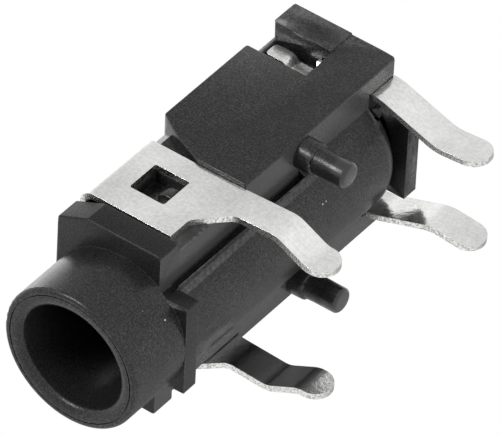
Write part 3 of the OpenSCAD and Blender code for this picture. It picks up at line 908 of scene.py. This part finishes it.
@dataclass
class Contact:
    """A stamped contact: strip in the body, leg, lock finger, barb and the arm that presses on the plug."""

    name: str
    side: Side
    body: Body
    strip_y: float
    arm: tuple
    fold: tuple = ()
    sheet: float = 0.2
    strip_x: float = 2.4
    strip_z: tuple = (1.9, 3.1)
    rear: float = 14.3
    leg_w: float = 1.18
    finger: tuple = (12.39, 12.95)
    finger_top: float = 4.61
    finger_corner: float = 0.12
    joggle: tuple = (0.22, 3.95, 3.7, 0.12)
    leg_bend: float = 1.4
    bend_z: float = 0.8
    kink: float = 0.78
    kink_depth: float = 1.4
    turn: float = 0.14
    reach: float = 3.05
    barb: tuple = (13.07, 0.42, 2.8, 3.1, 0.14)
    barb_root: float = 0.3
    barb_bend: float = 0.1
    fold_bend: float = 0.16
    arm_bend: float = 0.2
    strip_edge: float = 0.035
    barb_edge: float = 0.02
    arm_edge: float = 0.03
    pitch: float = 0.12
    row_pitch: float = 0.08

    def blank(self) -> BentBlank:
        """The bend path from the top of the lock finger down to the leg's tip."""
        rise, high, low, radius = self.joggle
        corners = [
            (self.strip_x + rise, self.finger_top), (self.strip_x + rise, high), (self.strip_x, low),
            (self.strip_x, self.bend_z), (self.strip_x - self.kink, -self.kink_depth),
            (self.strip_x - self.kink + self.turn, -self.reach),
        ]
        return BentBlank(rounded_path(corners, [radius, radius, self.leg_bend, self.leg_bend]))

    def _turned(self, patches: list[Patch]) -> list[Patch]:
        """The patches on this contact's side of the plug."""
        return patches if self.side is Side.RIGHT else [p.mirrored() for p in patches]

    def build(self) -> bpy.types.Object:
        """Lays out strip, finger and leg as one blank and bends it, with the front fold where there is one.

        Returns:
            The new object.
        """
        blank = self.blank()
        top, low = blank.at_height(self.strip_z[1]), blank.at_height(self.strip_z[0])
        finger = across(*self.finger, ARM_LINES)
        leg = across(self.rear - self.leg_w, self.rear, LEG_LINES)
        parts = [lines_between([self.strip_y, self.finger[0]], self.pitch)[:-1], finger[:-1]]
        parts += [lines_between([self.finger[1], leg[0]], self.pitch)[:-1], leg]
        y = np.concatenate(parts)
        rows = lines_between([top, low], self.row_pitch)
        patches = [blank.patch(rows[:, None], y[None, :])]
        patches += blank.tongue(finger, top, 0.0, self.finger_corner)
        patches += blank.tongue(leg, low, blank.length, self.leg_w / 2)
        if self.fold:
            path = rounded_path(list(self.fold), [self.fold_bend] * 2)[::-1]
            patches.append(ribbon(path, *self.strip_z, len(rows), self._upright))
        return sheet_object(self.name + "_strip", self._turned(patches), self.sheet, self.strip_edge)

    def build_barb(self) -> bpy.types.Object:
        """Bends the barb out of the strip as a short ribbon in x and y.

        Returns:
            The new object.
        """
        y, rise, low, high, thick = self.barb
        x = self.strip_x
        path = rounded_path([(x, y - self.barb_root), (x, y), (x + rise, y)], [self.barb_bend])
        patches = self._turned([ribbon(path, low, high, BARB_LINES, self._upright)])
        return sheet_object(self.name + "_barb", patches, thick, self.barb_edge)

    def build_arm(self) -> bpy.types.Object:
        """Bends the spring arm as a ribbon in x and y that is even across its height.

        Returns:
            The new object.
        """
        path = rounded_path(list(self.arm), [self.arm_bend])
        patches = self._turned([ribbon(path, *self.strip_z, ARM_LINES, self._upright)])
        return sheet_object(self.name + "_arm", patches, self.sheet, self.arm_edge)

    @staticmethod
    def _upright(u: np.ndarray, v: np.ndarray, w: np.ndarray) -> np.ndarray:
        """Points of a ribbon whose path lies in x and y and whose width stands up."""
        return np.stack([u, v + NOSE_Y, w], -1)

    def dress(self, metal: list) -> None:
        """Builds the three pieces and dresses them in tin, the arm on its own body."""
        dress(self.build(), metal, Slot.PLATED, Body.SOCKET, self.name + "_terminal")
        dress(self.build_barb(), metal, Slot.PLATED, Body.SOCKET)
        dress(self.build_arm(), metal, Slot.PLATED, self.body, self.name + "_spring")


# Stage


@dataclass
class PhotoCamera:
    """Long lens at the photograph's viewing angle, looking up at the socket from below its board side."""

    right: tuple = (0.0243, 0.6143, -0.7887)
    up: tuple = (0.7292, 0.5288, 0.4343)
    back: tuple = (0.6838, -0.5857, -0.4351)
    distance: float = 263.0
    focal_px: float = 8764.0
    centre_px: tuple = (180.45, 142.63)
    width_px: float = 500.0
    sensor: float = 36.0
    near: float = 0.01
    far: float = 10.0

    def build(self) -> bpy.types.Object:
        """Makes the camera and sets it as the scene's.

        The camera stands on the line through the nose face's middle and is turned from it by the pixels that
        the middle is away from the picture's own.

        Returns:
            The camera object.
        """
        right, up, back = (Vector(v).normalized() for v in (self.right, self.up, self.back))
        across_px, up_px = self.centre_px
        ahead = (-back + right * (across_px / self.focal_px) + up * (up_px / self.focal_px)).normalized()
        up = (up - ahead * up.dot(ahead)).normalized()
        right = ahead.cross(up)
        turn = Matrix((right, up, -ahead)).transposed()
        lens = bpy.data.cameras.new("photo_camera")
        lens.sensor_fit, lens.sensor_width = "HORIZONTAL", self.sensor
        lens.lens = self.sensor * self.focal_px / self.width_px
        lens.clip_start, lens.clip_end = self.near, self.far
        obj = bpy.data.objects.new("photo_camera", lens)
        place = (Vector((0.0, NOSE_Y, AXIS_H)) + back * self.distance) * MM
        obj.matrix_world = Matrix.Translation(place) @ turn.to_4x4()
        bpy.context.scene.collection.objects.link(obj)
        bpy.context.scene.camera = obj
        return obj


@dataclass
class Lamp:
    """A soft square lamp: way to it, distance and side in mm, radiance, and whether gloss shows it."""

    name: str
    way: tuple
    distance: float
    side: float
    radiance: float
    mirrored: bool = False

    def build(self) -> bpy.types.Object:
        """Makes the lamp. Its power is radiance * pi * its area.

        Returns:
            The lamp object.
        """
        light = bpy.data.lights.new(self.name, "AREA")
        light.shape, light.size = "SQUARE", self.side * MM
        light.energy = self.radiance * math.pi * (self.side * MM) ** 2
        obj = bpy.data.objects.new(self.name, light)
        way = Vector(self.way).normalized()
        obj.location = way * self.distance * MM
        obj.rotation_mode = "QUATERNION"
        obj.rotation_quaternion = way.to_track_quat("Z", "Y")
        obj.visible_glossy = self.mirrored
        bpy.context.scene.collection.objects.link(obj)
        return obj


@dataclass
class Studio:
    """Pale floor under the legs, white surround and soft lamps.

    A gloom is a direction, a power that narrows it and a depth that it takes off the surround in reflections.
    """

    floor_z: float = -3.06
    floor_side: float = 600.0
    floor_level: float = 0.3
    floor_rise: float = 0.2
    floor_lines: int = 41
    floor_grain: float = 120.0
    floor_roughness: float = 0.8
    floor_specular: float = 0.1
    floor_tones: tuple = ((0.86, 0.86, 0.86, 1.0), (0.9, 0.9, 0.9, 1.0))
    surround: float = 0.15  # strength as light
    glow: float = 1.0       # strength in reflections, before the glooms
    glooms: tuple = (
        ((-0.85, 0.52, 0.2), 9.0, 0.7),
        ((-0.72, 0.58, -0.38), 8.0, 0.35),
        ((0.68, 0.586, 0.435), 6.0, 0.15),
        ((-0.25, 0.58, 0.78), 18.0, -1.2),
    )
    lamps: list = field(
        default_factory=lambda: [
            Lamp("key", (0.1, -0.05, -1.0), 170.0, 170.0, 3.6),
            Lamp("front", (0.75, -0.35, -0.55), 170.0, 120.0, 0.8),
            Lamp("over", (-0.5, 0.4, 0.8), 190.0, 170.0, 4.0),
            Lamp("edge", (0.68, -0.58, 0.43), 200.0, 70.0, 14.0, True),
        ]
    )

    def build(self) -> None:
        """Makes the floor, the world and the lamps."""
        self._floor()
        self._world()
        for lamp in self.lamps:
            lamp.build()

    def _floor(self) -> bpy.types.Object:
        """Lays a pale floor that only a camera above it sees, with the socket's shadow on it.

        A grid of two parameters, level in the middle and rising as the square of the distance near its rim.

        Returns:
            The floor object.
        """
        line = np.linspace(-0.5, 0.5, self.floor_lines) * self.floor_side
        x, y = np.meshgrid(line, line, indexing="xy")
        out = np.clip(np.hypot(x, y) / self.floor_side - self.floor_level, 0.0, None)
        rise = out**2 * self.floor_side * self.floor_rise
        points = np.stack([x, y, self.floor_z + rise], axis=-1)
        grid = Patch.of(points, np.zeros(points.shape[:2] + (2,)))
        mesh = bpy.data.meshes.new("floor")
        mesh.from_pydata((points.reshape(-1, 3) * MM).tolist(), [], grid.quads().tolist())
        obj = bpy.data.objects.new("floor", mesh)
        bpy.context.scene.collection.objects.link(obj)
        material, sheet, shader = blank_material("pale_floor")
        place = sheet.add("TexCoord").outputs["Object"]
        noise = sheet.add("TexNoise", {"Vector": place, "Scale": self.floor_grain, "Detail": 3.0})
        colour = sheet.tint(noise.outputs[0], *self.floor_tones)
        finish = {"Roughness": self.floor_roughness, "Specular IOR Level": self.floor_specular}
        sheet.feed(shader, {"Base Color": colour} | finish)
        front = sheet.math("SUBTRACT", 1.0, sheet.add("NewGeometry").outputs["Backfacing"])
        seen = sheet.math("MULTIPLY", sheet.add("LightPath").outputs["Is Camera Ray"], front)
        clear = sheet.add("BsdfTransparent")
        mix = sheet.add("MixShader", {0: seen, 1: clear.outputs[0], 2: shader.outputs[0]})
        sheet.feed(sheet.tree.nodes["Material Output"], {"Surface": mix.outputs[0]})
        mesh.materials.append(material)
        return obj

    def _world(self) -> None:
        """Sets a surround that is white to the camera, softly shaded in reflections and dim as light."""
        world = bpy.data.worlds.new("surround")
        bpy.context.scene.world = world
        world.use_nodes = True
        world.node_tree.nodes.clear()
        sheet = NodeSheet(world.node_tree)
        path = sheet.add("LightPath").outputs
        way = sheet.add("TexCoord").outputs["Generated"]
        shade = self.glow
        for toward, power, depth in self.glooms:
            unit = Vector(toward).normalized()
            near = sheet.add("VectorMath", {0: way, 1: unit}, operation="DOT_PRODUCT").outputs["Value"]
            near = sheet.math("POWER", sheet.math("MAXIMUM", near, 0.0), power)
            shade = sheet.math("SUBTRACT", shade, sheet.math("MULTIPLY", near, depth))
        shade = sheet.math("MAXIMUM", shade, 0.0)
        glossy = sheet.add("Mix", {0: path["Is Glossy Ray"], 2: self.surround, 3: shade}).outputs[0]
        seen = sheet.math("MAXIMUM", path["Is Camera Ray"], path["Is Transmission Ray"])
        strength = sheet.add("Mix", {0: seen, 2: glossy, 3: 1.0}).outputs[0]
        light = sheet.add("Background", {"Color": (1.0, 1.0, 1.0, 1.0), "Strength": strength})
        sheet.add("OutputWorld", {"Surface": light.outputs[0]})


def main() -> None:
    """Builds the camera, the studio and each piece in order."""
    logging.basicConfig(level=logging.INFO, format="%(name)s: %(message)s")
    bpy.context.scene.view_settings.view_transform = "Standard"
    PhotoCamera().build()
    Studio().build()
    effects = SurfaceEffects()
    plastic = MouldedPlastic().material(effects)
    metal = [TinPlate().material(effects), ShearedEdge().material(effects)]
    moulding = Moulding()
    moulding.dress(moulding.build(), plastic)
    SleeveClip().dress(metal)
    Contact(
        "tip", Side.RIGHT, Body.TIP, 7.75, ((2.0, 7.75), (1.4, 11.05), (1.56, 11.47)),
        fold=((2.4, 7.75), (2.4, 7.55), (2.0, 7.55), (2.0, 7.75)),
    ).dress(metal)
    Contact("ring", Side.LEFT, Body.RING, 12.17, ((2.4, 12.17), (1.4, 8.7), (1.56, 8.28))).dress(metal)


if __name__ == "__main__":
    main()
